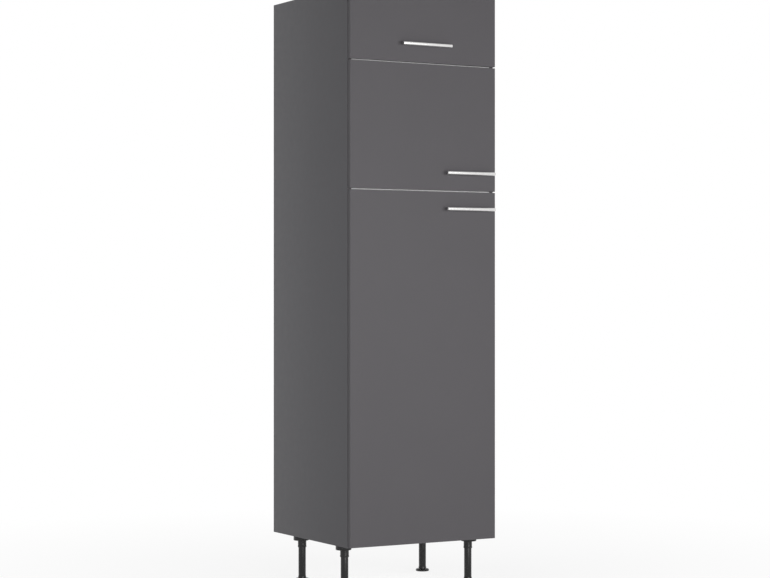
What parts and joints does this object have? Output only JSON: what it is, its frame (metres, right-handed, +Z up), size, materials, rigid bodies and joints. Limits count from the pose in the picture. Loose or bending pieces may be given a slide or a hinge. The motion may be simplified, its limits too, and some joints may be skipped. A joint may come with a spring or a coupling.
{
  "type": "fridge housing unit",
  "caption": "Tall kitchen cabinet for a built-in fridge, on levelling legs, with side-hung doors, a lift-up flap, bar handles and a ventilated niche.",
  "frame": {"origin": "on the floor, under the middle of the whole object's box with its handles", "axes": "+Z up, -Y out of the fronts, +X to the right as seen from the front"},
  "size_m": [0.6, 0.619, 2.121],
  "materials": {
    "anthracite_front": "matt anthracite melamine on board",
    "anthracite_side": "matt anthracite melamine on board",
    "white_board": "satin white melamine on board",
    "handle_steel": "brushed",
    "plated_steel": "nickel plated",
    "strut_paint": "satin grey",
    "leg_plastic": "semi-gloss black"
  },
  "bodies": {
    "carcass": {"side_panel_left": "anthracite_side", "side_panel_right": "anthracite_side", "bottom_panel": "white_board", "niche_shelf": "white_board", "flap_shelf": "white_board", "top_panel": "white_board", "back_panel": "white_board", "rear_rail": "white_board", "loose_shelf": "white_board", "shelf_pin_front_left": "plated_steel", "shelf_pin_front_right": "plated_steel", "shelf_pin_back_left": "plated_steel", "shelf_pin_back_right": "plated_steel", "lower_door_hinge_arm_1": "plated_steel", "lower_door_hinge_plate_1": "plated_steel", "lower_door_hinge_arm_2": "plated_steel", "lower_door_hinge_plate_2": "plated_steel", "lower_door_hinge_arm_3": "plated_steel", "lower_door_hinge_plate_3": "plated_steel", "middle_door_hinge_arm_1": "plated_steel", "middle_door_hinge_plate_1": "plated_steel", "middle_door_hinge_arm_2": "plated_steel", "middle_door_hinge_plate_2": "plated_steel", "flap_hinge_arm_1": "plated_steel", "flap_hinge_plate_1": "plated_steel", "flap_hinge_arm_2": "plated_steel", "flap_hinge_plate_2": "plated_steel", "strut_side_bracket": "plated_steel", "leg_socket_front_left": "leg_plastic", "leg_tube_front_left": "leg_plastic", "leg_socket_front_right": "leg_plastic", "leg_tube_front_right": "leg_plastic", "leg_socket_back_left": "leg_plastic", "leg_tube_back_left": "leg_plastic", "leg_socket_back_right": "leg_plastic", "leg_tube_back_right": "leg_plastic"},
    "lower_door": {"lower_door": "anthracite_front", "lower_door_handle": "handle_steel", "lower_door_hinge_cup_1": "plated_steel", "lower_door_hinge_cup_2": "plated_steel", "lower_door_hinge_cup_3": "plated_steel"},
    "middle_door": {"middle_door": "anthracite_front", "middle_door_handle": "handle_steel", "middle_door_hinge_cup_1": "plated_steel", "middle_door_hinge_cup_2": "plated_steel"},
    "flap": {"flap": "anthracite_front", "flap_handle": "handle_steel", "flap_hinge_cup_1": "plated_steel", "flap_hinge_cup_2": "plated_steel", "strut_flap_bracket": "plated_steel"},
    "strut_cylinder": {"strut_cylinder": "strut_paint"},
    "strut_rod": {"strut_rod": "plated_steel"},
    "leg_foot_front_left": {"leg_foot_front_left": "leg_plastic"},
    "leg_foot_front_right": {"leg_foot_front_right": "leg_plastic"},
    "leg_foot_back_left": {"leg_foot_back_left": "leg_plastic"},
    "leg_foot_back_right": {"leg_foot_back_right": "leg_plastic"}
  },
  "joints": [
    {"name": "lower_door_hinge", "type": "hinge", "parent": "carcass", "child": "lower_door", "pos_m": [-0.2926, -0.271, 0.7905], "axis": [0, 0, -1], "range_deg": [0, 95]},
    {"name": "middle_door_hinge", "type": "hinge", "parent": "carcass", "child": "middle_door", "pos_m": [-0.2926, -0.271, 1.641], "axis": [0, 0, -1], "range_deg": [0, 95]},
    {"name": "flap_hinge", "type": "hinge", "parent": "carcass", "child": "flap", "pos_m": [0, -0.271, 2.1136], "axis": [-1, 0, 0], "range_deg": [0, 90]},
    {"name": "strut_swing", "type": "hinge", "parent": "carcass", "child": "strut_cylinder", "pos_m": [0.266, -0.1195, 2.0906], "axis": [-1, 0, 0], "range_deg": [0, 9.7]},
    {"name": "strut_extend", "type": "slide", "parent": "strut_cylinder", "child": "strut_rod", "axis": [0, -0.9855, -0.1694], "range_m": [0, 0.067]},
    {"name": "foot_front_left_adjust", "type": "slide", "parent": "carcass", "child": "leg_foot_front_left", "axis": [0, 0, -1], "range_m": [0, 0.02]},
    {"name": "foot_front_right_adjust", "type": "slide", "parent": "carcass", "child": "leg_foot_front_right", "axis": [0, 0, -1], "range_m": [0, 0.02]},
    {"name": "foot_back_left_adjust", "type": "slide", "parent": "carcass", "child": "leg_foot_back_left", "axis": [0, 0, -1], "range_m": [0, 0.02]},
    {"name": "foot_back_right_adjust", "type": "slide", "parent": "carcass", "child": "leg_foot_back_right", "axis": [0, 0, -1], "range_m": [0, 0.02]}
  ],
  "couplings": [
    {"joint": "strut_swing", "follows": "flap_hinge", "ratio": 0.10674},
    {"joint": "strut_extend", "follows": "flap_hinge", "m_per_rad": 0.042414}
  ]
}
